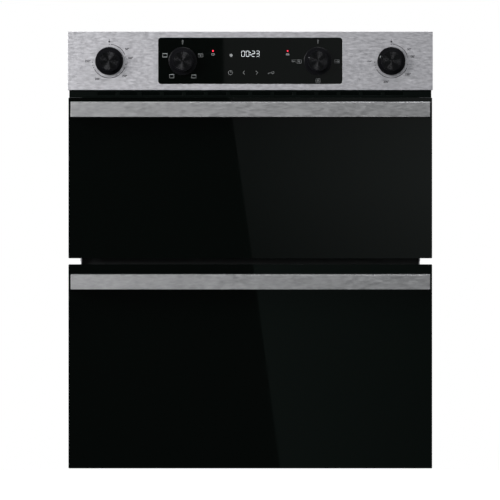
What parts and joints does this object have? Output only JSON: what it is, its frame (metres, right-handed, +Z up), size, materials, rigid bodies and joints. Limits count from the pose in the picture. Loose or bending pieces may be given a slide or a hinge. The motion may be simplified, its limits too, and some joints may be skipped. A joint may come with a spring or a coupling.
{
  "type": "double wall oven",
  "caption": "Built-under double oven with drop-down glass doors, flat metal handles, a steel fascia with rotary knobs and a clock, and enamelled cavities with wire shelves.",
  "frame": {"origin": "middle of the footprint, from the handles' fronts to the rear panel, on the underside of the base panel", "axes": "+Z up, the doors and the controls face -Y, +X to the right seen from the front"},
  "size_m": [0.594, 0.608, 0.711],
  "materials": {
    "galvanised_steel": "zinc spangle, satin",
    "black_enamel": "satin black",
    "oven_enamel": "glossy dark enamel with fine speckle",
    "mineral_wool": "matt fibres",
    "seal": "matt silicone over glass braid",
    "element_sheath": "dark oxide",
    "motor_steel": "bare laminations",
    "lamp_glass": "ribbed",
    "chrome_wire": "bright",
    "hinge_steel": "zinc plated",
    "terminal_plastic": "moulded",
    "brushed_steel": "horizontal grain",
    "black_glass": "gloss, opaque black",
    "clear_glass": "gloss",
    "black_plastic": "fine texture",
    "red_lens": "translucent red",
    "handle_metal": "fine horizontal grain",
    "knob_black": "satin, spun dark metal face",
    "fan_metal": "pressed"
  },
  "bodies": {
    "oven_body": {"base_panel": "galvanised_steel", "left_side_panel": "galvanised_steel", "right_side_panel": "galvanised_steel", "rear_panel": "galvanised_steel", "top_panel": "galvanised_steel", "control_shelf": "galvanised_steel", "front_frame": "black_enamel", "mounting_ears": "galvanised_steel", "upper_cavity": "oven_enamel", "lower_cavity": "oven_enamel", "upper_insulation": "mineral_wool", "lower_insulation": "mineral_wool", "upper_gasket": "seal", "lower_gasket": "seal", "upper_grill_element": "element_sheath", "lower_grill_element": "element_sheath", "ring_element": "element_sheath", "fan_cover": "oven_enamel", "convection_motor": "motor_steel", "oven_lamps": "lamp_glass", "side_racks": "chrome_wire", "hinge_arms": "hinge_steel", "terminal_box": "terminal_plastic", "terminal_cover": "terminal_plastic", "fascia_panel": "brushed_steel", "fascia_glass": "black_glass", "fascia_carrier": "black_plastic", "timer_module": "black_plastic", "indicator_lenses": "red_lens", "vent_trim": "black_plastic", "control_switches": "black_plastic", "cooling_fan_housing": "galvanised_steel", "cooling_fan_motor": "motor_steel"},
    "upper_door": {"upper_outer_glass": "black_glass", "upper_inner_glass": "clear_glass", "upper_door_frame": "black_enamel", "upper_top_profile": "black_plastic", "upper_handle_bar": "handle_metal", "upper_handle_end_caps": "black_plastic", "upper_hinge_bodies": "hinge_steel"},
    "lower_door": {"lower_outer_glass": "black_glass", "lower_inner_glass": "clear_glass", "lower_door_frame": "black_enamel", "lower_top_profile": "black_plastic", "lower_handle_bar": "handle_metal", "lower_handle_end_caps": "black_plastic", "lower_hinge_bodies": "hinge_steel"},
    "upper_function_control": {"upper_function_knob": "knob_black", "upper_function_spindle": "hinge_steel"},
    "upper_temperature_control": {"upper_temperature_knob": "knob_black", "upper_temperature_spindle": "hinge_steel"},
    "lower_function_control": {"lower_function_knob": "knob_black", "lower_function_spindle": "hinge_steel"},
    "lower_temperature_control": {"lower_temperature_knob": "knob_black", "lower_temperature_spindle": "hinge_steel"},
    "convection_fan": {"convection_fan": "fan_metal"},
    "cooling_fan_rotor": {"cooling_fan_rotor": "fan_metal"},
    "upper_shelf": {"upper_shelf": "chrome_wire"},
    "lower_shelf": {"lower_shelf": "chrome_wire"},
    "baking_tray": {"baking_tray": "oven_enamel"}
  },
  "joints": [
    {"name": "upper_door_hinge", "type": "hinge", "parent": "oven_body", "child": "upper_door", "pos_m": [0, -0.25, 0.351], "axis": [1, 0, 0], "range_deg": [0, 90], "stiffness_Nm_per_rad": 1.6, "springref_deg": -22.92},
    {"name": "lower_door_hinge", "type": "hinge", "parent": "oven_body", "child": "lower_door", "pos_m": [0, -0.25, 0.009], "axis": [1, 0, 0], "range_deg": [0, 90], "stiffness_Nm_per_rad": 2.4, "springref_deg": -22.92},
    {"name": "upper_function_turn", "type": "hinge", "parent": "oven_body", "child": "upper_function_control", "pos_m": [-0.11, -0.2648, 0.663], "axis": [0, 1, 0], "continuous": true},
    {"name": "upper_temperature_turn", "type": "hinge", "parent": "oven_body", "child": "upper_temperature_control", "pos_m": [-0.2296, -0.2648, 0.663], "axis": [0, 1, 0], "range_deg": [0, 270]},
    {"name": "lower_function_turn", "type": "hinge", "parent": "oven_body", "child": "lower_function_control", "pos_m": [0.11, -0.2648, 0.663], "axis": [0, 1, 0], "continuous": true},
    {"name": "lower_temperature_turn", "type": "hinge", "parent": "oven_body", "child": "lower_temperature_control", "pos_m": [0.2296, -0.2648, 0.663], "axis": [0, 1, 0], "range_deg": [0, 270]},
    {"name": "convection_fan_spin", "type": "hinge", "parent": "oven_body", "child": "convection_fan", "pos_m": [0, 0.19, 0.167], "axis": [0, 1, 0], "continuous": true},
    {"name": "cooling_fan_spin", "type": "hinge", "parent": "oven_body", "child": "cooling_fan_rotor", "pos_m": [0, 0.1, 0.6308], "axis": [1, 0, 0], "continuous": true},
    {"name": "upper_shelf_slide", "type": "slide", "parent": "oven_body", "child": "upper_shelf", "axis": [0, -1, 0], "range_m": [0, 0.02]},
    {"name": "lower_shelf_slide", "type": "slide", "parent": "oven_body", "child": "lower_shelf", "axis": [0, -1, 0], "range_m": [0, 0.02]},
    {"name": "baking_tray_slide", "type": "slide", "parent": "oven_body", "child": "baking_tray", "axis": [0, -1, 0], "range_m": [0, 0.02]}
  ]
}
